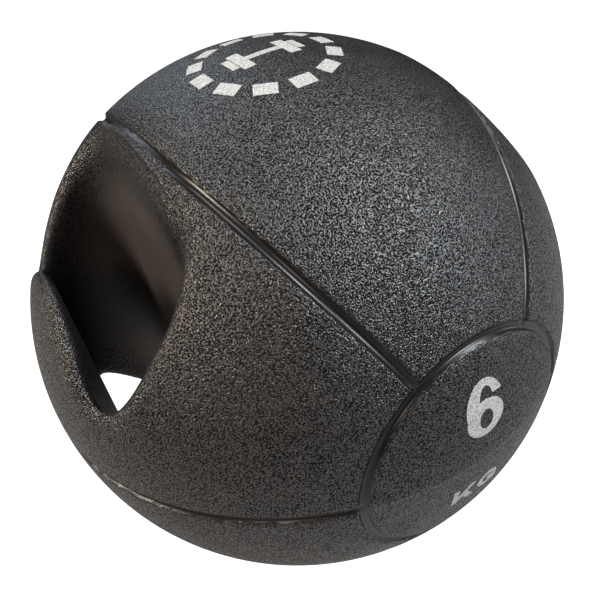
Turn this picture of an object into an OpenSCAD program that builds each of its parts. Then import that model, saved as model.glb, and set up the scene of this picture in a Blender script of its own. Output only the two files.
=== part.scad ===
// Double-grip rubber medicine ball: eight moulded cover panels over a thick hollow
// core and two solid grip blocks, an inflated bladder with a needle valve, and prints.
// +Z runs up through both grips, which lean towards the front cap at the top,
// -Y faces the cap with the weight mark, and the origin is the centre of the ball.

/* [Ball] */
// Outside diameter of the ball
ball_d = 280; // [240:1:320]
// Thickness of the moulded cover panels and of the grip lining
cover_t = 3; // [2:0.5:5]
// Thickness of the bonded layer between cover, core and grip blocks
bond_t = 0.2; // [0.1:0.05:0.4]

/* [Seams] */
// Half angle of the top and bottom panels, measured around the cap axis
seam_angle = 30; // [26:0.5:32]
// Width of the moulded grooves between panels
groove_w = 3.2; // [2:0.2:4.5]
// Angular radius of the two round caps
cap_angle = 22; // [18:0.5:24]

/* [Grips] */
// Share of the ball radius where the middle of the handle's inner face lies
grip_out = 0.825; // [0.8:0.005:0.85]
// How far the handle thins towards its ends (0 is a straight inner face)
grip_bow = 0.45; // [0:0.05:0.6]
// Share of the ball radius where the tunnel's flat inner wall lies
grip_in = 0.522; // [0.515:0.001:0.545]
// Half length of the tunnel, as a share of the ball radius
grip_half = 0.43; // [0.4:0.005:0.46]
// Radius of the tunnel's corners beside the ball, as a share of the ball radius
corner_in = 0.15; // [0.1:0.005:0.15]
// Radius of the tunnel's corners beside the handle, as a share of the ball radius
corner_out = 0.165; // [0.12:0.005:0.17]
// Angle by which the tunnels lean towards the front cap at the top
grip_tilt = 10.5; // [0:0.5:14]

/* [Inside] */
// Half width of the air chamber between the two tunnels
chamber_half = 60; // [40:1:60]
// Radius of the air chamber around the grip-to-grip line
chamber_r = 120; // [100:1:122]
// Wall thickness of the bladder
bladder_t = 2; // [1:0.25:3]

/* [Valve] */
// Diameter of the hole for an inflation needle
needle_bore_d = 2.5; // [2.3:0.1:2.6]
// Outside diameter of the valve stem
stem_d = 9; // [8:0.5:12]
// Diameter of the valve's flange inside the bladder
flange_d = 22; // [16:1:26]

/* [Marks] */
// Thickness of the printed ink
ink_t = 0.15; // [0.1:0.05:0.3]
// Height of the weight numeral
numeral_h = 25; // [16:1:28]
// Height of the unit letters
unit_h = 10; // [8:0.5:12]
// Radius of the ring of dashes on the top panel
emblem_r = 28; // [24:1:32]

/* [Hidden] */

R = ball_d / 2;
Rc = R - cover_t - bond_t;                  // outside radius of core and grip blocks
cap_r = R * sin(cap_angle);                 // centre line of the ring groove
g = groove_w / 2;
L = 2 * R;
c_black = [0.06, 0.06, 0.065];
c_inner = [0.13, 0.12, 0.11];
c_red = [0.45, 0.12, 0.10];
c_ink = [0.86, 0.85, 0.82];
ink_gap = 0.05;
stem_out = R - 0.7;                         // outer face of the valve stem
chamber_y = chamber_r - bladder_t;          // bladder's inner face on the cap axis
seal_r = 2.6;
seal_len = 9;

// ---- building blocks ----

// Half plane on the increasing side of azimuth a, held back by k
module side_up(a, k) rotate(-a) translate([k, -L]) square([L, 2 * L]);
// Half plane on the decreasing side of azimuth a, held back by k
module side_down(a, k) rotate(-a) translate([-k - L, -L]) square([L, 2 * L]);

// Wedge around the Y axis between two azimuths, counted from +Z towards +X
module sector(a0, a1, k0, k1)
    rotate([90, 0, 0]) linear_extrude(height = 2 * L, center = true)
        intersection() { side_up(a0, k0); side_down(a1, k1); }

module cover_shell() difference() {
    sphere(r = R, $fn = 180);
    sphere(r = R - cover_t, $fn = 180);
}

module along_y(r, y0, y1, fn = 96)
    translate([0, y0, 0]) rotate([-90, 0, 0]) cylinder(r = r, h = y1 - y0, $fn = fn);

// Points on part of a circle
function bend(cx, cy, r, a0, a1, n) =
    [for (i = [0:n]) let (a = a0 + (a1 - a0) * i / n) [cx + r * cos(a), cy + r * sin(a)]];

// Outline of the right-hand tunnel seen along its axis, grown outwards by k
module slot(k) {
    h = grip_half * R;
    ci = corner_in * R;
    co = corner_out * R;
    b = grip_bow / R;
    s1 = h - co - co * sin(atan(1.7 * b * (h - co)));           // where the handle face meets its corners
    t = atan(2 * b * s1);
    xc = grip_out * R + b * s1 * s1 - co * cos(t);
    polygon(concat(
        [for (i = [-6:6]) let (s = s1 * i / 6, a = atan(2 * b * s))
            [grip_out * R + b * s * s + k * cos(a), s - k * sin(a)]],
        [for (i = [1:9]) let (a = -t + (90 + t) * i / 9) [xc + (co + k) * cos(a), h - co + (co + k) * sin(a)]],
        bend(grip_in * R + ci, h - ci, ci + k, 90, 180, 7),
        bend(grip_in * R + ci, ci - h, ci + k, 180, 270, 7),
        [for (i = [9:-1:1]) let (a = t - (90 + t) * i / 9) [xc + (co + k) * cos(a), co - h + (co + k) * sin(a)]]));
}

// The right-hand grip tunnel, grown outwards by k
module tunnel(k) rotate([grip_tilt, 0, 0])
    linear_extrude(height = 4 * R, center = true) slot(k);

// Half profile of the air chamber, less by k on every side
function chamber(k) = [for (i = [0:36]) let (a = -90 + 5 * i, n = 2 / 3.6)
    [(chamber_r - k) * pow(max(0, cos(a)), n),
     (chamber_half - k) * sign(sin(a)) * pow(abs(sin(a)), n)]];
module chamber_body(k)
    rotate([0, 90, 0]) rotate_extrude($fn = 144) polygon(chamber(k));

// Layer in which print lies on the cover
module ink_layer() difference() {
    sphere(r = R + ink_gap + ink_t, $fn = 180);
    sphere(r = R + ink_gap, $fn = 180);
}

function oval(cx, cy, rx, ry, n = 40) =
    [for (i = [0:n - 1]) [cx + rx * cos(360 * i / n), cy + ry * sin(360 * i / n)]];

// Numeral 6 of height 1, standing on y = 0
module six() difference() {
    union() {
        difference() {
            polygon(oval(0, 0.5, 0.44, 0.5));
            polygon(oval(0.03, 0.55, 0.17, 0.33));
            polygon([[0.02, 0.40], [0.6, 0.40], [0.6, 0.70], [0.10, 0.70]]);
        }
        polygon(oval(0, 0.325, 0.44, 0.325));
    }
    polygon(oval(0.01, 0.30, 0.16, 0.175));
}

// Letters K and G of height 1
module letter_k() union() {
    square([0.28, 1]);
    polygon([[0.2, 0.36], [0.76, 1], [1.14, 1], [0.2, 0.02]]);
    polygon([[0.40, 0.50], [0.66, 0.68], [1.18, 0], [0.80, 0]]);
}
module letter_g() union() {
    difference() {
        polygon(oval(0.58, 0.5, 0.58, 0.5));
        polygon(oval(0.58, 0.5, 0.29, 0.27));
        polygon([[0.58, 0.52], [1.3, 0.52], [1.3, 0.69], [0.62, 0.66]]);
    }
    translate([0.56, 0.35]) square([0.57, 0.2]);
    translate([0.90, 0.10]) square([0.23, 0.4]);
}

// ---- cover ----

module cap_front() color(c_black) intersection() {
    cover_shell();
    along_y(cap_r - g, -1.2 * R, -0.5 * R, 128);
}

module cap_rear() color(c_black) difference() {
    intersection() {
        cover_shell();
        along_y(cap_r - g, 0.5 * R, 1.2 * R, 128);
    }
    along_y(stem_d / 2 + 0.15, 0.8 * R, 1.2 * R, 48);
}

module plain_panel() difference() {
    intersection() {
        cover_shell();
        sector(-seam_angle, seam_angle, g, g);
    }
    along_y(cap_r + g, -1.2 * R, 1.2 * R, 128);
}
module panel_top() color(c_black) plain_panel();
module panel_bottom() color(c_black) mirror([0, 0, 1]) plain_panel();

// Quarter of the grip side: its share of the cover and of the tunnel lining
module grip_panel() color(c_black) difference() {
    union() {
        intersection() {
            cover_shell();
            sector(seam_angle, 90, g, g);
        }
        intersection() {
            sphere(r = R, $fn = 180);
            tunnel(cover_t);
            sector(seam_angle, 90, g, 0);
        }
    }
    tunnel(0);
    along_y(cap_r + g, -1.2 * R, 1.2 * R, 128);
}
module grip_panel_right_upper() grip_panel();
module grip_panel_right_lower() rotate([180, 0, 0]) grip_panel();
module grip_panel_left_upper() mirror([1, 0, 0]) grip_panel();
module grip_panel_left_lower() mirror([1, 0, 0]) rotate([180, 0, 0]) grip_panel();

// ---- inside ----

// Half thickness of the slab between the two tunnels
core_x = grip_in * R - cover_t - bond_t;

// Half of the hollow core, with its half of the valve's seat
module core_half() color(c_inner) difference() {
    intersection() {
        sphere(r = Rc, $fn = 180);
        translate([-core_x, -L, 0]) cube([2 * core_x, 2 * L, L]);
    }
    chamber_body(-0.25);
    along_y(stem_d / 2 + 0.15, 0.5 * R, 1.2 * R, 48);
}
module core_upper() core_half();
module core_lower() mirror([0, 0, 1]) core_half();

// Solid block that makes the ends of one tunnel and the strap of its handle
module grip_block() color(c_inner) difference() {
    sphere(r = Rc, $fn = 180);
    translate([core_x + bond_t - 2 * L, -L, -L]) cube([2 * L, 2 * L, 2 * L]);
    tunnel(cover_t + bond_t);
}
module grip_block_right() grip_block();
module grip_block_left() mirror([1, 0, 0]) grip_block();

module bladder() color(c_red) difference() {
    chamber_body(0);
    chamber_body(bladder_t);
    along_y(stem_d / 2 + 0.15, 0.5 * R, 1.2 * R, 48);
}

module valve_body() color(c_black) difference() {
    union() {
        along_y(stem_d / 2, chamber_y - 16, stem_out, 48);
        along_y(flange_d / 2, chamber_y - 5, chamber_y - 1.2, 64);
    }
    along_y(needle_bore_d / 2, chamber_y - 20, stem_out + 2, 32);
    along_y(seal_r, chamber_y - 20, chamber_y - 16 + seal_len, 32);
    // lead-in for the needle
    translate([0, stem_out - 1, 0]) rotate([-90, 0, 0])
        cylinder(r1 = needle_bore_d / 2, r2 = needle_bore_d / 2 + 1.01, h = 1.01, $fn = 32);
}

module valve_seal() color(c_red) along_y(seal_r - 0.15, chamber_y - 16, chamber_y - 16 + seal_len - 0.2, 32);

// ---- print ----

module weight_numeral() color(c_ink) intersection() {
    ink_layer();
    translate([-0.01 * R, 0, 0.098 * R]) rotate([90, 0, 0])
        linear_extrude(height = 1.1 * R) scale([0.84 * numeral_h, numeral_h]) six();
}
module weight_unit() color(c_ink) intersection() {
    ink_layer();
    translate([-0.107 * R, 0, -0.17 * R]) rotate([90, 0, 0])
        linear_extrude(height = 1.1 * R) scale(unit_h) union() {
            letter_k();
            translate([1.34, 0]) letter_g();
        }
}
module on_top() rotate([9.5, -4.4, 0]) linear_extrude(height = 1.1 * R) children();
module emblem_ring() color(c_ink) intersection() {
    ink_layer();
    on_top() for (i = [0:11]) rotate(30 * i)
        translate([-4.6, emblem_r - 3.2]) square([9.2, 6.4]);
}
// Plain dumbbell pictogram
module emblem_centre() color(c_ink) intersection() {
    ink_layer();
    on_top() union() {
        translate([-9, -1.7]) square([18, 3.4]);
        for (s = [-1, 1]) translate([10.4 * s, 0]) {
            translate([-2.6, -8]) square([5.2, 16]);
            translate([s * 4.6 - 1.6, -5]) square([3.2, 10]);
        }
    }
}

cap_front();
cap_rear();
panel_top();
panel_bottom();
grip_panel_left_upper();
grip_panel_left_lower();
grip_panel_right_upper();
grip_panel_right_lower();
core_upper();
core_lower();
grip_block_left();
grip_block_right();
bladder();
valve_body();
valve_seal();
weight_numeral();
weight_unit();
emblem_ring();
emblem_centre();
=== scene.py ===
import math

import bmesh
import bpy
import numpy as np
from mathutils import Matrix, Vector
from mathutils.geometry import delaunay_2d_cdt


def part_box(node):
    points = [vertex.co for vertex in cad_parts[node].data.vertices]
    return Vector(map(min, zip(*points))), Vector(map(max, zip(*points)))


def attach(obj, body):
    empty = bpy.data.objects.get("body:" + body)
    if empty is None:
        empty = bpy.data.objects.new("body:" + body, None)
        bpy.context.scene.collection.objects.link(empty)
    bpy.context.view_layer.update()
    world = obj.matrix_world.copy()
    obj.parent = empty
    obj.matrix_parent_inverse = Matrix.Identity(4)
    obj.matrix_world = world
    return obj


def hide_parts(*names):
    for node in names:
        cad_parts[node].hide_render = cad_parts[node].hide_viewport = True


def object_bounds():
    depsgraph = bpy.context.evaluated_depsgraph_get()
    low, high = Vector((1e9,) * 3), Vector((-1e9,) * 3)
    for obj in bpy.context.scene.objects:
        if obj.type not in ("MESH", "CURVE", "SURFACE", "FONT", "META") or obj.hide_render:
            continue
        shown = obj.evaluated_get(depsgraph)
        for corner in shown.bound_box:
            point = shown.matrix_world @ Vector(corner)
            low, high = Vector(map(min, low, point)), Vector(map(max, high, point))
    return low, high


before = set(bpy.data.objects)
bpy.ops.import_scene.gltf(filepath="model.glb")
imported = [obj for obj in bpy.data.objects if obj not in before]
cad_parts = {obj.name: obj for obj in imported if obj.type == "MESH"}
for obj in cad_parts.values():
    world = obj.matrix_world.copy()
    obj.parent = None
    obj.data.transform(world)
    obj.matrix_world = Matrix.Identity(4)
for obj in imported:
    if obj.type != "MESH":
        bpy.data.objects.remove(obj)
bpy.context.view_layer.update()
R = float(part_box("panel_top")[1][2]) * 1000.0  # ball radius in mm; all shape functions work in mm
R = round(R, 1)
COVER = 3.0
SEAM = math.radians(30.0)
CAP = math.radians(22.0)

# ---------------------------------------------------------------- camera
K, AZ, EL, ROLL, F, OX, OY = 2.1108, -0.47388, 0.61324, -0.15051, 496.38, -2.298, -1.042


def make_camera():
    d = np.array([math.sin(AZ) * math.cos(EL), -math.cos(AZ) * math.cos(EL), math.sin(EL)])
    eye = K * R * 0.001 * d
    fw = -d
    r = np.cross(fw, [0, 0, 1.0])
    r /= np.linalg.norm(r)
    u = np.cross(r, fw)
    c, s = math.cos(ROLL), math.sin(ROLL)
    r2, u2 = c * r + s * u, -s * r + c * u
    b = np.array([OX / F, -OY / F, 1.0])
    b /= np.linalg.norm(b)
    v = np.cross([0, 0, 1], b)
    sn = np.linalg.norm(v)
    k = np.array([[0, -v[2], v[1]], [v[2], 0, -v[0]], [-v[1], v[0], 0]])
    m = np.eye(3) + k + k @ k * ((1 - b[2]) / sn ** 2)
    w = m @ np.array([r2, u2, fw])
    cam = bpy.data.cameras.new("camera")
    cam.sensor_width = 36.0
    cam.lens = F / 600.0 * 36.0
    cam.clip_start, cam.clip_end = 0.01, 60.0
    o = bpy.data.objects.new("camera", cam)
    bpy.context.scene.collection.objects.link(o)
    o.matrix_world = Matrix((
        (w[0][0], w[1][0], -w[2][0], eye[0]),
        (w[0][1], w[1][1], -w[2][1], eye[1]),
        (w[0][2], w[1][2], -w[2][2], eye[2]),
        (0, 0, 0, 1)))
    bpy.context.scene.camera = o
    return eye, w


EYE, CAMW = make_camera()


# ---------------------------------------------------------------- shape functions (mm)
def step(x, a, b):
    t = np.clip((x - a) / (b - a), 0, 1)
    return t * t * (3 - 2 * t)


def round_max(a, b, r):
    """Intersection of two solids whose convex edge is rounded with radius r."""
    u, v = np.maximum(a + r, 0), np.maximum(b + r, 0)
    return np.minimum(-r, np.maximum(a, b)) + np.sqrt(u * u + v * v)


TILT = math.radians(10.5)
IN, OUT, BOW, HALF, CORNER_IN, CORNER_OUT = 0.522 * R, 0.825 * R, 0.45 / R, 0.43 * R, 0.15 * R, 0.20 * R


def lean(y, z):
    """Distance along the handle from its middle, in the frame of the leaning tunnels."""
    return np.abs(y * math.cos(TILT) + z * math.sin(TILT))


def tunnel(x, y, z):
    """Signed distance to the grip tunnels, negative inside them."""
    x, s = np.abs(x), lean(y, z)
    inner = IN - x
    outer = (x - OUT - BOW * s * s) / np.sqrt(1 + (2 * BOW * s) ** 2)
    return np.maximum(round_max(inner, s - HALF, CORNER_IN), round_max(outer, s - HALF, CORNER_OUT))


def body(x, y, z):
    """The ball with both tunnels and their rounded rims, before the grooves."""
    ax, s = np.abs(x), lean(y, z)
    r = np.sqrt(x * x + y * y + z * z)
    t = tunnel(x, y, z)
    near_body = 1 - step(ax, 0.55 * R, 0.72 * R)
    mid = 1 - step(s, 0.05 * R, 0.42 * R)
    rim = 8.0 + near_body * 7.0 * mid
    return round_max(r - R, -t, rim)


def seams(x, y, z):
    """Distance to the nearest straight seam and to the nearest cap ring."""
    ax, ay, az = np.abs(x), np.abs(y), np.abs(z)
    d30 = np.abs(ax * math.cos(SEAM) - az * math.sin(SEAM))
    straight = np.minimum(d30, az)
    theta = np.arctan2(np.hypot(x, z), ay)
    ring = (theta - CAP) * R
    # a straight seam ends at the ring
    over = np.maximum(-ring, 0)
    return np.hypot(straight, over), np.abs(ring)


def grooved(x, y, z):
    b = body(x, y, z)
    s, g = seams(x, y, z)
    deep = step(np.sqrt(x * x + y * y + z * z), 0.955 * R, 0.975 * R)  # none down in the tunnels
    s = s + (1 - deep) * 6
    c1 = 2.15 - np.hypot(s, b - 0.55)
    c2 = 2.3 - np.hypot(g, b - 0.6)
    return round_max(round_max(b, c1, 0.75), c2, 0.8)


def gradient(f, p, h=0.04):
    g = np.empty_like(p)
    for i in range(3):
        a, b = p.copy(), p.copy()
        a[:, i] += h
        b[:, i] -= h
        g[:, i] = (f(*a.T) - f(*b.T)) / (2 * h)
    return g


# ---------------------------------------------------------------- meshing
def spacing(length, zones, fine, coarse, ramp):
    """Points along 0..length, closer together near the places in zones."""
    s = [0.0]
    while s[-1] < length:
        d = min(abs(s[-1] - z) for z in zones) if zones else 1e9
        t = min(1, max(0, (d - ramp * 0.35) / ramp))
        s.append(s[-1] + fine + (coarse - fine) * t * t * (3 - 2 * t))
    s = np.array(s)
    return s / s[-1] * length


def nets(values, pad):
    """Surface nets on a box of samples. pad marks samples that are outside only because the box ends there."""
    inside = values < 0
    count = np.zeros(tuple(n - 1 for n in values.shape), np.int8)
    corners = [(i, j, k) for i in (0, 1) for j in (0, 1) for k in (0, 1)]
    nx, ny, nz = values.shape
    for i, j, k in corners:
        count += inside[i:nx - 1 + i, j:ny - 1 + j, k:nz - 1 + k]
    mixed = (count > 0) & (count < 8)
    cells = np.argwhere(mixed)
    index = np.full(mixed.shape, -1, np.int64)
    index[mixed] = np.arange(len(cells))
    at = np.zeros((len(cells), 3))
    n = np.zeros(len(cells))
    cv = {c: values[cells[:, 0] + c[0], cells[:, 1] + c[1], cells[:, 2] + c[2]] for c in corners}
    cp = {c: pad[cells[:, 0] + c[0], cells[:, 1] + c[1], cells[:, 2] + c[2]] for c in corners}
    for a in corners:
        for axis in range(3):
            if a[axis]:
                continue
            b = tuple(1 if q == axis else a[q] for q in range(3))
            va, vb = cv[a], cv[b]
            cross = (va < 0) != (vb < 0)
            t = np.where(cross, va / np.where(va == vb, 1, va - vb), 0)
            p = np.array(a, float)[None] + t[:, None] * (np.array(b) - np.array(a))[None]
            at[cross] += p[cross]
            n[cross] += 1
    at = cells + at / n[:, None]
    real_in = np.zeros(len(cells), bool)
    real_out = np.zeros(len(cells), bool)
    for c in corners:
        real_in |= (~cp[c]) & (cv[c] < 0)
        real_out |= (~cp[c]) & (cv[c] >= 0)
    quads = []
    for axis in range(3):
        b, c = (axis + 1) % 3, (axis + 2) % 3
        lo = [slice(None)] * 3
        hi = [slice(None)] * 3
        lo[axis], hi[axis] = slice(0, -1), slice(1, None)
        s0, s1 = inside[tuple(lo)], inside[tuple(hi)]
        e = np.argwhere(s0 != s1)
        keep = (e[:, b] > 0) & (e[:, c] > 0) & (e[:, b] < values.shape[b] - 1) & (e[:, c] < values.shape[c] - 1)
        e = e[keep]
        eb, ec = np.eye(3, dtype=int)[b], np.eye(3, dtype=int)[c]
        four = [index[tuple((e - off).T)] for off in (0 * eb, eb, eb + ec, ec)]
        q = np.stack(four, 1)
        flip = ~s0[tuple(e.T)]
        q[flip] = q[flip][:, ::-1]
        quads.append(q)
    return at, np.concatenate(quads), cells, real_in & real_out


def to_xyz(az, th, r):
    rho = r * np.sin(th)
    return np.stack([rho * np.sin(az), -r * np.cos(th), rho * np.cos(az)], -1)


def grip_quarter():
    """The right upper grip panel: its outside, its half of the tunnel lining and its hidden inner face, closed."""
    eps = 0.02 / R
    sa = spacing(R * (math.pi / 2 - SEAM), [0, R * (math.pi / 2 - SEAM)], 0.33, 1.5, 4.5)
    st = spacing(R * (math.pi - 2 * CAP), [0, R * (math.pi - 2 * CAP)], 0.33, 1.5, 4.5)
    az = SEAM + eps + sa / R * (1 - 2 * eps / (math.pi / 2 - SEAM))
    th = CAP + eps + st / R * (1 - 2 * eps / (math.pi - 2 * CAP))
    az = np.r_[az[0], az, az[-1]]
    th = np.r_[th[0], th, th[-1]]
    rr = np.r_[np.arange(0.50 * R, R - 9, 1.35), np.arange(R - 9, R - 3.9, 0.85), np.arange(R - 3.9, R + 1.0, 0.4)]
    A, T, Q = np.meshgrid(az, th, rr, indexing="ij")
    P = to_xyz(A, T, Q)
    x, y, z = P[..., 0], P[..., 1], P[..., 2]

    def f(x, y, z):
        return np.maximum(grooved(x, y, z), -(body(x, y, z) + COVER))

    v = f(x, y, z)
    pad = np.zeros(v.shape, bool)
    pad[0], pad[-1], pad[:, 0], pad[:, -1] = True, True, True, True
    v[pad] = 50.0
    at, quads, cells, crossing = nets(v, pad)
    ia = np.interp(at[:, 0], np.arange(len(az)), az)
    it = np.interp(at[:, 1], np.arange(len(th)), th)
    ir = np.interp(at[:, 2], np.arange(len(rr)), rr)
    lo_a, hi_a = cells[:, 0] == 0, cells[:, 0] == len(az) - 2
    lo_t, hi_t = cells[:, 1] == 0, cells[:, 1] == len(th) - 2
    p = to_xyz(ia, it, ir)
    free = ~(lo_a | hi_a | lo_t | hi_t) | crossing
    for _ in range(7):
        q = p[free]
        val = f(*q.T)
        g = gradient(f, q)
        g2 = (g * g).sum(1)
        move = -(val / np.maximum(g2, 0.3))[:, None] * g
        size = np.linalg.norm(move, axis=1)
        move *= np.minimum(1, 0.8 / np.maximum(size, 1e-9))[:, None]
        p[free] = q + move
        r = np.linalg.norm(p, axis=1)
        a = np.arctan2(p[:, 0], p[:, 2])
        t = np.arccos(np.clip(-p[:, 1] / r, -1, 1))
        a = np.where(lo_a, az[0], np.where(hi_a, az[-1], a))
        t = np.where(lo_t, th[0], np.where(hi_t, th[-1], t))
        p = to_xyz(a, t, r)
    return p, quads


def radial(az, th, r0=None):
    """Where the grooved surface lies along each direction."""
    r = np.full(az.shape, R + 0.5) if r0 is None else r0
    for _ in range(12):
        p = to_xyz(az, th, r)
        q = to_xyz(az, th, r + 0.03)
        f0 = grooved(p[..., 0], p[..., 1], p[..., 2])
        f1 = grooved(q[..., 0], q[..., 1], q[..., 2])
        slope = np.clip((f1 - f0) / 0.03, 0.35, 1.6)
        r = r - np.clip(f0 / slope, -1, 1)
    return r


def patch_solid(az, th, wrap=False):
    """Closed solid between the outer surface over a grid of directions and the inner face COVER below it."""
    A, T = np.meshgrid(az, th, indexing="ij")
    ro = radial(A, T)
    na, nt = A.shape
    rings = [ro]
    base = R - COVER
    for w in (0.5, 1.0):
        rings.append(ro + (base - ro) * w)
    outer = to_xyz(A, T, ro).reshape(-1, 3)
    inner = to_xyz(A, T, np.full_like(A, base)).reshape(-1, 3)
    verts = np.concatenate([outer, inner])
    o = np.arange(na * nt).reshape(na, nt)
    i = o + na * nt
    q = []

    def grid(g, flip):
        h = np.concatenate([g, g[:1]]) if wrap else g
        f = np.stack([h[:-1, :-1], h[1:, :-1], h[1:, 1:], h[:-1, 1:]], -1).reshape(-1, 4)
        q.append(f[:, ::-1] if flip else f)

    grid(o, True)
    grid(i, False)

    def wall(a, b, close):
        if close:
            a, b = np.r_[a, a[:1]], np.r_[b, b[:1]]
        q.append(np.stack([a[:-1], a[1:], b[1:], b[:-1]], -1))

    wall(o[:, 0][::1], i[:, 0], wrap)
    wall(o[:, -1][::-1], i[:, -1][::-1], wrap)
    if not wrap:
        wall(o[0, ::-1], i[0, ::-1], False)
        wall(o[-1], i[-1], False)
    return verts, np.concatenate(q)


def build(name, verts, faces, mirror=(1, 1, 1), smooth_angle=40.0, masks=True):
    """A mesh object in metres from points in mm, with the masks that its material reads."""
    v = verts * np.array(mirror, float)
    f = faces if np.prod(mirror) > 0 else faces[:, ::-1]
    me = bpy.data.meshes.new(name)
    me.from_pydata((v * 0.001).tolist(), [], f.tolist())
    me.validate()
    if masks:
        x, y, z = v.T
        s, g = seams(x, y, z)
        r = np.linalg.norm(v, axis=1)
        wob = 0.25 * np.sin(x * 0.9 + 1.3 * np.sin(y * 0.7)) + 0.2 * np.sin(z * 1.3 + y * 0.8)
        on = step(r, 0.955 * R, 0.975 * R)
        smooth = np.maximum((1 - step(s + wob, 1.7, 2.5)) * on, 1 - step(g + wob, 1.8, 2.6))
        t = tunnel(x, y, z)
        b = body(x, y, z)
        deep = 1 - step(r, R - 30, R - 10)
        for key, value in (("smooth", smooth), ("deep", deep)):
            a = me.attributes.new(key, "FLOAT", "POINT")
            a.data.foreach_set("value", value.astype(np.float32))
    me.shade_smooth()
    me.set_sharp_from_angle(angle=math.radians(smooth_angle))
    o = bpy.data.objects.new(name, me)
    bpy.context.scene.collection.objects.link(o)
    return o


# ---------------------------------------------------------------- materials
def nodes_of(name):
    m = bpy.data.materials.new(name)
    m.use_nodes = True
    nt = m.node_tree
    bsdf = nt.nodes["Principled BSDF"]
    return m, nt, bsdf


def add(nt, kind, **props):
    n = nt.nodes.new(kind)
    for k, v in props.items():
        setattr(n, k, v)
    return n


def math_node(nt, op, a, b=None, c=None, clamp=False):
    n = add(nt, "ShaderNodeMath", operation=op, use_clamp=clamp)
    for i, v in enumerate((a, b, c)):
        if v is None:
            continue
        if isinstance(v, (int, float)):
            n.inputs[i].default_value = v
        else:
            nt.links.new(v, n.inputs[i])
    return n.outputs[0]


def ramp(nt, value, a, b, lo, hi):
    n = add(nt, "ShaderNodeMapRange", interpolation_type="SMOOTHSTEP")
    nt.links.new(value, n.inputs["Value"])
    for k, v in (("From Min", a), ("From Max", b), ("To Min", lo), ("To Max", hi)):
        n.inputs[k].default_value = v
    return n.outputs[0]


def mix_color(nt, fac, a, b, mode="MIX"):
    n = add(nt, "ShaderNodeMix", data_type="RGBA", blend_type=mode)
    for sock, v in ((n.inputs[0], fac), (n.inputs[6], a), (n.inputs[7], b)):
        if isinstance(v, (int, float)):
            sock.default_value = v
        elif isinstance(v, tuple):
            sock.default_value = (*v, 1) if len(v) == 3 else v
        else:
            nt.links.new(v, sock)
    return n.outputs[2]


def noise(nt, co, scale, detail=2.0, rough=0.5, distortion=0.0):
    n = add(nt, "ShaderNodeTexNoise")
    nt.links.new(co, n.inputs["Vector"])
    n.inputs["Scale"].default_value = scale
    n.inputs["Detail"].default_value = detail
    n.inputs["Roughness"].default_value = rough
    n.inputs["Distortion"].default_value = distortion
    return n


def grain_height(nt, co):
    """Height of the worm-like pebble grain, 0 in the valleys to 1 on the tops, about 1.7 mm from one to the next."""
    n = noise(nt, co, 1650.0, 0.5, 0.5).outputs["Fac"]
    pebble = ramp(nt, n, 0.34, 0.66, 0.0, 1.0)
    fine = noise(nt, co, 3000.0, 1.0, 0.5).outputs["Fac"]
    h = math_node(nt, "ADD", n, math_node(nt, "MULTIPLY", fine, 0.10))
    return math_node(nt, "MULTIPLY", h, 2.2), pebble


def attribute(nt, name):
    return add(nt, "ShaderNodeAttribute", attribute_name=name).outputs["Fac"]


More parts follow.
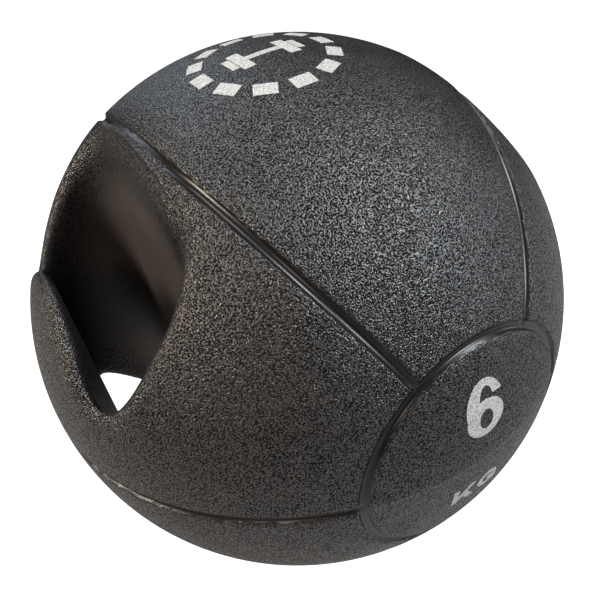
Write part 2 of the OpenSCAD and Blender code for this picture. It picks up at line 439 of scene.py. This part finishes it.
def rubber(name, base, rough_top, rough_low, bump_mm, masks=True, parting=False):
    m, nt, bsdf = nodes_of(name)
    tc = add(nt, "ShaderNodeTexCoord")
    co = tc.outputs["Object"]
    h, pebble = grain_height(nt, co)
    blotch = noise(nt, co, 22.0, 4.0, 0.6).outputs["Fac"]
    dust = noise(nt, co, 90.0, 5.0, 0.65).outputs["Fac"]
    # Painted shade: low is the base colour cut to 0.22 and painted into the pebble valleys as cavity shade.
    low = tuple(c * 0.22 for c in base)
    high = tuple(min(1, c * 1.5) for c in base)
    # the grain valleys mix towards low, which is painted shade in the dips; the tops keep the base colour
    col = mix_color(nt, ramp(nt, pebble, 0.1, 0.9, 0.0, 1.0), low, base)
    col = mix_color(nt, ramp(nt, blotch, 0.35, 0.7, 0.0, 0.8), col, high)
    col = mix_color(nt, ramp(nt, dust, 0.5, 0.8, 0.0, 0.30), col, (0.022, 0.021, 0.020))
    rough = ramp(nt, pebble, 0.1, 0.8, rough_low, rough_top)
    rough = math_node(nt, "ADD", rough, ramp(nt, blotch, 0.3, 0.75, -0.05, 0.07))
    strength = None
    if masks:
        sm = attribute(nt, "smooth")
        dp = attribute(nt, "deep")
        col = mix_color(nt, sm, col, tuple(c * 0.75 for c in base))
        rough = mix_value(nt, sm, rough, 0.30)
        rough = mix_value(nt, dp, rough, 0.50)
        col = mix_color(nt, dp, col, (0.034, 0.028, 0.026))
        keep = math_node(nt, "SUBTRACT", 1.0, sm)
        less = ramp(nt, dp, 0.0, 1.0, 1.0, 0.40)
        strength = math_node(nt, "MULTIPLY", keep, less)
        h2 = math_node(nt, "MULTIPLY", h, strength)
        micro = noise(nt, co, 900.0, 3.0, 0.6).outputs["Fac"]
        h2 = math_node(nt, "ADD", h2, math_node(nt, "MULTIPLY", micro, 0.10))
        h = h2
    if parting:
        sep = add(nt, "ShaderNodeSeparateXYZ")
        nt.links.new(co, sep.inputs[0])
        wob = noise(nt, co, 60.0, 2.0).outputs["Fac"]
        zz = math_node(nt, "ADD", sep.outputs["Z"], math_node(nt, "MULTIPLY", math_node(nt, "SUBTRACT", wob, 0.5), 0.0008))
        line = ramp(nt, math_node(nt, "ABSOLUTE", zz), 0.0, 0.00055, 1.0, 0.0)
        h = math_node(nt, "ADD", h, math_node(nt, "MULTIPLY", line, 1.1))
        # Painted light: the whole cap below the parting line is painted lighter (0.35 towards 0.05 grey) as a painted
        # lit lower shoulder.
        below = ramp(nt, zz, -0.0006, 0.0002, 1.0, 0.0)
        col = mix_color(nt, math_node(nt, "MULTIPLY", below, 0.35), col, (0.05, 0.049, 0.048))
        col = mix_color(nt, math_node(nt, "MULTIPLY", line, 0.4), col, (0.09, 0.088, 0.085))
    bump = add(nt, "ShaderNodeBump")
    bump.inputs["Strength"].default_value = 1.0
    bump.inputs["Distance"].default_value = bump_mm * 0.001
    nt.links.new(h, bump.inputs["Height"])
    nt.links.new(bump.outputs["Normal"], bsdf.inputs["Normal"])
    nt.links.new(col, bsdf.inputs["Base Color"])
    nt.links.new(rough, bsdf.inputs["Roughness"])
    bsdf.inputs["Specular IOR Level"].default_value = 0.5
    gloss = ramp(nt, pebble, 0.1, 0.9, 0.07, 0.80)
    if masks:
        gloss = mix_value(nt, sm, gloss, 0.30)
        gloss = mix_value(nt, dp, gloss, 0.60)
    nt.links.new(gloss, bsdf.inputs["Specular IOR Level"])
    bsdf.inputs["IOR"].default_value = 1.52
    return m


def mix_value(nt, fac, a, b):
    n = add(nt, "ShaderNodeMix", data_type="FLOAT")
    for sock, v in ((n.inputs[0], fac), (n.inputs[2], a), (n.inputs[3], b)):
        if isinstance(v, (int, float)):
            sock.default_value = v
        else:
            nt.links.new(v, sock)
    return n.outputs[0]


def ink(name):
    m, nt, bsdf = nodes_of(name)
    tc = add(nt, "ShaderNodeTexCoord")
    co = tc.outputs["Object"]
    h, pebble = grain_height(nt, co)
    fine = noise(nt, co, 420.0, 3.0, 0.6).outputs["Fac"]
    col = mix_color(nt, ramp(nt, pebble, 0.05, 0.55, 0.0, 1.0), (0.20, 0.20, 0.195), (0.36, 0.365, 0.355))
    col = mix_color(nt, ramp(nt, fine, 0.66, 0.78, 0.0, 0.5), col, (0.14, 0.14, 0.14))
    bump = add(nt, "ShaderNodeBump")
    bump.inputs["Strength"].default_value = 1.0
    bump.inputs["Distance"].default_value = 0.00014
    nt.links.new(h, bump.inputs["Height"])
    nt.links.new(bump.outputs["Normal"], bsdf.inputs["Normal"])
    nt.links.new(col, bsdf.inputs["Base Color"])
    nt.links.new(ramp(nt, fine, 0.3, 0.7, 0.5, 0.65), bsdf.inputs["Roughness"])
    return m


def plain(name, base, rough, scale=300.0):
    """Moulded part that is hidden in the finished ball: faint mottling and moulding marks."""
    m, nt, bsdf = nodes_of(name)
    co = add(nt, "ShaderNodeTexCoord").outputs["Object"]
    n = noise(nt, co, scale, 4.0, 0.6).outputs["Fac"]
    col = mix_color(nt, ramp(nt, n, 0.3, 0.7, 0, 1), tuple(c * 0.7 for c in base), tuple(min(1, c * 1.3) for c in base))
    bump = add(nt, "ShaderNodeBump")
    bump.inputs["Distance"].default_value = 0.0001
    nt.links.new(n, bump.inputs["Height"])
    nt.links.new(bump.outputs["Normal"], bsdf.inputs["Normal"])
    nt.links.new(col, bsdf.inputs["Base Color"])
    nt.links.new(ramp(nt, n, 0.2, 0.8, rough - 0.08, rough + 0.08), bsdf.inputs["Roughness"])
    return m


BLACK = (0.0060, 0.0060, 0.0064)
m_cover = rubber("rubber_cover", BLACK, 0.33, 0.55, 0.23)
m_cap = rubber("rubber_cap", (0.0055, 0.0053, 0.0054), 0.42, 0.60, 0.15, parting=True)
m_grip = rubber("rubber_grip_cover", (0.0070, 0.0060, 0.0057), 0.33, 0.55, 0.23)
m_ink = ink("print_ink")
m_core = plain("rubber_core", (0.03, 0.03, 0.031), 0.5)
m_bladder = plain("butyl_bladder", (0.16, 0.05, 0.04), 0.6, 120.0)
m_valve = plain("rubber_valve", (0.03, 0.03, 0.03), 0.45, 700.0)
m_seal = plain("rubber_seal", (0.35, 0.12, 0.09), 0.6, 700.0)

# ---------------------------------------------------------------- cover pieces


def finish_piece(o, node, mat):
    o.data.materials.clear()
    o.data.materials.append(mat)
    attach(o, "root")
    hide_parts(node)
    return o


gv, gf = grip_quarter()
for node, mir in (("grip_panel_right_upper", (1, 1, 1)), ("grip_panel_right_lower", (1, -1, -1)),
                  ("grip_panel_left_upper", (-1, 1, 1)), ("grip_panel_left_lower", (-1, -1, -1))):
    finish_piece(build(node + "_moulded", gv, gf, mir), node, m_grip)

EPS = 0.02 / R
sa = spacing(2 * SEAM * R, [0, 2 * SEAM * R], 0.33, 1.6, 4.5)
st = spacing(R * (math.pi - 2 * CAP), [0, R * (math.pi - 2 * CAP)], 0.33, 1.6, 4.5)
pa = -SEAM + EPS + sa / R * (1 - EPS / SEAM)
pt = CAP + EPS + st / R * (1 - 2 * EPS / (math.pi - 2 * CAP))
pv, pf = patch_solid(pa, pt)
for node, mir in (("panel_top", (1, 1, 1)), ("panel_bottom", (1, 1, -1))):
    finish_piece(build(node + "_moulded", pv, pf, mir), node, m_cover)


def cap(node, hole):
    """Round cap, built facing -Y from rings of directions, then turned if it is the rear one."""
    s = CAP * R - spacing(CAP * R - hole, [0], 0.33, 1.5, 4.5)
    th = (s / R)[::-1].copy()
    th[-1] -= EPS
    if not hole:
        th = th[1:]
    n = 240
    az = np.arange(n) / n * 2 * math.pi
    v, f = patch_solid(az, th, wrap=True)
    if not hole:  # close both faces at the pole
        nt = len(th)
        o = np.arange(n) * nt
        v = np.concatenate([v, [[0, -float(radial(np.zeros(1), np.full(1, 1e-5))[0]), 0], [0, -(R - COVER), 0]]])
        top, low = len(v) - 2, len(v) - 1
        f = [list(q) for q in f if not (set(q) <= set(o) | set(o + n * nt))]
        for i in range(n):
            j = (i + 1) % n
            f.append([top, int(o[i]), int(o[j])][::-1])
            f.append([low, int(o[i] + n * nt), int(o[j] + n * nt)])
        return v, f
    return v, f


cv, cf = cap("cap_front", 0.0)
me_f = [list(map(int, q)) for q in cf]


class Faces(list):
    def __getitem__(self, k):
        return Faces([q[::-1] for q in self]) if isinstance(k, tuple) else list.__getitem__(self, k)

    def tolist(self):
        return list(self)


finish_piece(build("cap_front_moulded", cv, Faces(me_f)), "cap_front", m_cap)
rv, rf = cap("cap_rear", 4.7)
finish_piece(build("cap_rear_moulded", rv, rf, (1, -1, 1)), "cap_rear", m_cap)

# ---------------------------------------------------------------- carried-over CAD nodes
for node, mat in (("core_upper", m_grip), ("core_lower", m_grip), ("grip_block_left", m_core), ("grip_block_right", m_core),
                  ("bladder", m_bladder), ("valve_body", m_valve), ("valve_seal", m_seal),
                  ("weight_numeral", m_ink), ("weight_unit", m_ink), ("emblem_ring", m_ink), ("emblem_centre", m_ink)):
    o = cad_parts[node]
    if not o.material_slots:
        o.data.materials.append(mat)
    for s in o.material_slots:
        s.material = mat

# ---------------------------------------------------------------- stage and light
FLOOR_Z = float(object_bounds()[0][2]) - 0.0004


def make_floor():
    bm = bmesh.new()
    bmesh.ops.create_circle(bm, cap_ends=True, radius=9.0, segments=96)
    me = bpy.data.meshes.new("floor")
    bm.to_mesh(me)
    bm.free()
    o = bpy.data.objects.new("floor", me)
    o.location.z = FLOOR_Z
    bpy.context.scene.collection.objects.link(o)
    m, nt, bsdf = nodes_of("floor_paint")
    co = add(nt, "ShaderNodeTexCoord").outputs["Object"]
    n = noise(nt, co, 3.0, 3.0).outputs["Fac"]
    nt.links.new(mix_color(nt, n, (0.33, 0.33, 0.33), (0.35, 0.35, 0.35)), bsdf.inputs["Base Color"])
    bsdf.inputs["Roughness"].default_value = 0.9
    bsdf.inputs["Specular IOR Level"].default_value = 0.1
    bsdf.inputs["Emission Color"].default_value = (1, 1, 1, 1)
    seen = add(nt, "ShaderNodeLightPath").outputs["Is Camera Ray"]
    nt.links.new(math_node(nt, "MULTIPLY", seen, 1.0), bsdf.inputs["Emission Strength"])
    me.materials.append(m)
    return o


make_floor()


def area(name, pos, aim, size, power, color=(1, 1, 1), size_y=None):
    l = bpy.data.lights.new(name, "AREA")
    l.shape = "RECTANGLE"
    l.size, l.size_y = size, size_y or size
    l.energy = power
    l.color = color
    o = bpy.data.objects.new(name, l)
    bpy.context.scene.collection.objects.link(o)
    d = Vector(aim) - Vector(pos)
    o.location = pos
    o.rotation_euler = d.to_track_quat("-Z", "Y").to_euler()
    return o


area("softbox_key", (0.80, -0.62, 1.25), (0, 0, 0), 0.50, 22.0, (0.95, 0.98, 1.0), 0.42)
area("softbox_front", (0.70, -1.36, 0.80), (0, 0, 0), 0.40, 21.0, (0.88, 0.94, 1.0), 0.35)
area("softbox_top", (0.20, 0.10, 1.55), (0, 0, 0), 0.65, 10.0, (1.0, 0.985, 0.97), 0.5)
area("softbox_back", (-0.05, 1.15, 0.95), (0, 0, 0), 0.8, 5.5, (0.78, 0.88, 1.0), 0.5)
area("softbox_right", (1.62, -0.75, 0.20), (0, 0, 0), 0.40, 2.5, (0.95, 0.98, 1.0), 0.40)
area("strip_left", (-1.25, 0.25, 0.75), (-0.1, 0, 0), 0.35, 24.0, (1.0, 0.86, 0.72), 0.5)
area("warm_left", (-0.95, -0.95, 0.80), (0, 0, 0), 0.30, 4.5, (1.0, 0.82, 0.68), 0.30)

w = bpy.data.worlds.new("world")
bpy.context.scene.world = w
w.use_nodes = True
wn = w.node_tree
bg = wn.nodes["Background"]
out = wn.nodes["World Output"]
tcw = wn.nodes.new("ShaderNodeTexCoord")
sepw = wn.nodes.new("ShaderNodeSeparateXYZ")
wn.links.new(tcw.outputs["Generated"], sepw.inputs[0])
mr = wn.nodes.new("ShaderNodeMapRange")
wn.links.new(sepw.outputs["Z"], mr.inputs["Value"])
for k, v in (("From Min", 0.0), ("From Max", 1.0), ("To Min", 0.03), ("To Max", 0.22)):
    mr.inputs[k].default_value = v
wn.links.new(mr.outputs[0], bg.inputs["Strength"])
bg.inputs["Color"].default_value = (0.98, 0.99, 1.0, 1)
lp = wn.nodes.new("ShaderNodeLightPath")
bg2 = wn.nodes.new("ShaderNodeBackground")
bg2.inputs["Color"].default_value = (1.0, 1.0, 1.0, 1)
bg2.inputs["Strength"].default_value = 1.0
mx = wn.nodes.new("ShaderNodeMixShader")
wn.links.new(lp.outputs["Is Camera Ray"], mx.inputs[0])
wn.links.new(bg.outputs[0], mx.inputs[1])
wn.links.new(bg2.outputs[0], mx.inputs[2])
wn.links.new(mx.outputs[0], out.inputs["Surface"])

vs = bpy.context.scene.view_settings
vs.view_transform = "Standard"
vs.look = "None"
vs.exposure = 0.0
vs.gamma = 1.0
